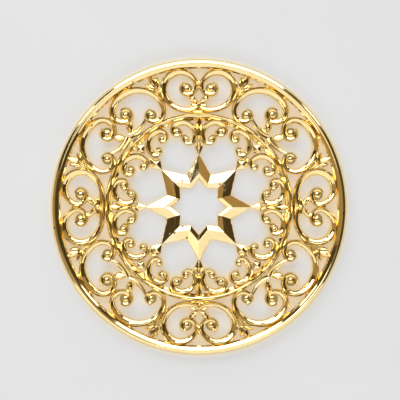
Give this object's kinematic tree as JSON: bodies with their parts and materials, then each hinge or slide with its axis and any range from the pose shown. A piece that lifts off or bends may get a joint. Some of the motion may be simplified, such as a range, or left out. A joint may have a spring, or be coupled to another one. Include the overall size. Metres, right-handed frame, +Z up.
{
  "type": "openwork rosette",
  "caption": "Round openwork rosette in polished brass: a ridged rim and an inner ring hold rolled scrolls, leaves and an open faceted star.",
  "frame": {"origin": "centre of the rim's flat underside, which lies on the table", "axes": "+Z up out of the face of the rosette, +Y and +X along two of the star's arms"},
  "size_m": [0.08, 0.08, 0.0032],
  "materials": {
    "rim_gold": "polished",
    "ring_gold": "polished",
    "scroll_gold": "polished",
    "leaf_gold": "polished",
    "star_gold": "polished"
  },
  "bodies": {
    "root": {"axis_knot_1": "leaf_gold", "axis_knot_2": "leaf_gold", "axis_knot_3": "leaf_gold", "axis_knot_4": "leaf_gold", "axis_spear_1": "leaf_gold", "axis_spear_2": "leaf_gold", "axis_spear_3": "leaf_gold", "axis_spear_4": "leaf_gold", "corner_scroll_1": "scroll_gold", "corner_scroll_2": "scroll_gold", "corner_scroll_3": "scroll_gold", "corner_scroll_4": "scroll_gold", "corner_scroll_5": "scroll_gold", "corner_scroll_6": "scroll_gold", "corner_scroll_7": "scroll_gold", "corner_scroll_8": "scroll_gold", "crown_scroll_1": "scroll_gold", "crown_scroll_2": "scroll_gold", "crown_scroll_3": "scroll_gold", "crown_scroll_4": "scroll_gold", "crown_scroll_5": "scroll_gold", "crown_scroll_6": "scroll_gold", "crown_scroll_7": "scroll_gold", "crown_scroll_8": "scroll_gold", "diagonal_knot_1": "leaf_gold", "diagonal_knot_2": "leaf_gold", "diagonal_knot_3": "leaf_gold", "diagonal_knot_4": "leaf_gold", "heart_scroll_1": "scroll_gold", "heart_scroll_2": "scroll_gold", "heart_scroll_3": "scroll_gold", "heart_scroll_4": "scroll_gold", "heart_scroll_5": "scroll_gold", "heart_scroll_6": "scroll_gold", "heart_scroll_7": "scroll_gold", "heart_scroll_8": "scroll_gold", "inner_ring": "ring_gold", "outer_rim": "rim_gold", "petal_scroll_1": "scroll_gold", "petal_scroll_2": "scroll_gold", "petal_scroll_3": "scroll_gold", "petal_scroll_4": "scroll_gold", "petal_scroll_5": "scroll_gold", "petal_scroll_6": "scroll_gold", "petal_scroll_7": "scroll_gold", "petal_scroll_8": "scroll_gold", "ray_gems_1": "leaf_gold", "ray_gems_2": "leaf_gold", "ray_gems_3": "leaf_gold", "ray_gems_4": "leaf_gold", "rim_leaf_1": "leaf_gold", "rim_leaf_2": "leaf_gold", "rim_leaf_3": "leaf_gold", "rim_leaf_4": "leaf_gold", "rim_leaf_5": "leaf_gold", "rim_leaf_6": "leaf_gold", "rim_leaf_7": "leaf_gold", "rim_leaf_8": "leaf_gold", "star": "star_gold"}
  },
  "joints": []
}
